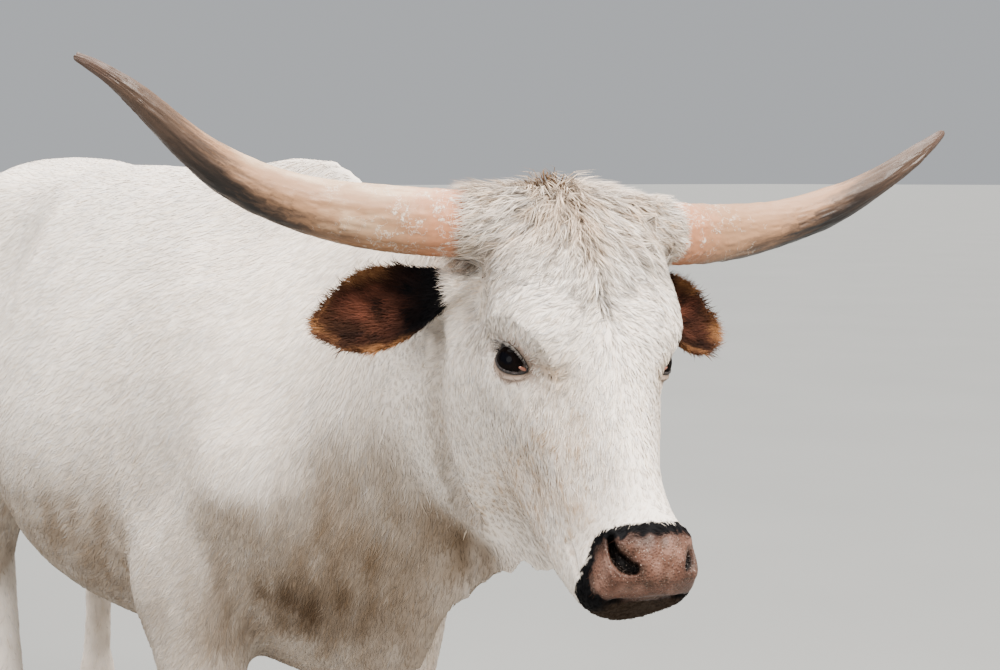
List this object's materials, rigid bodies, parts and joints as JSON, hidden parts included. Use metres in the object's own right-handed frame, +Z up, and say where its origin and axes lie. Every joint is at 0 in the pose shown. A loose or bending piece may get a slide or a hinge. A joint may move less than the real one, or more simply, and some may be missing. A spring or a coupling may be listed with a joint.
{
  "type": "texas longhorn steer",
  "caption": "Life-size Texas longhorn steer standing with its head turned, white coat, wide upswept horns, dark ears and cloven hooves.",
  "frame": {"origin": "middle of the model's bounding box, on the floor under the animal", "axes": "+Z up, -Y the way the trunk faces, +X to the animal's left"},
  "size_m": [1.1192, 2.4322, 1.4919],
  "materials": {
    "white_hide": "short dense white to cream hair",
    "ear_hide": "dark brown hair with a rufous fringe",
    "horn": "cream-tan horn, dark and streaked towards the tips",
    "eye": "moist, near black",
    "hoof": "dark weathered hoof horn"
  },
  "bodies": {
    "root": {"torso": "white_hide", "neck": "white_hide", "head": "white_hide", "tail": "white_hide", "foreleg_left": "white_hide", "foreleg_right": "white_hide", "hindleg_left": "white_hide", "hindleg_right": "white_hide", "horn_left": "horn", "horn_right": "horn", "ear_left": "ear_hide", "ear_right": "ear_hide", "eye_left": "eye", "eye_right": "eye", "claw_fore_left_outer": "hoof", "claw_fore_left_inner": "hoof", "claw_fore_right_outer": "hoof", "claw_fore_right_inner": "hoof", "claw_hind_left_outer": "hoof", "claw_hind_left_inner": "hoof", "claw_hind_right_outer": "hoof", "claw_hind_right_inner": "hoof"}
  },
  "joints": []
}
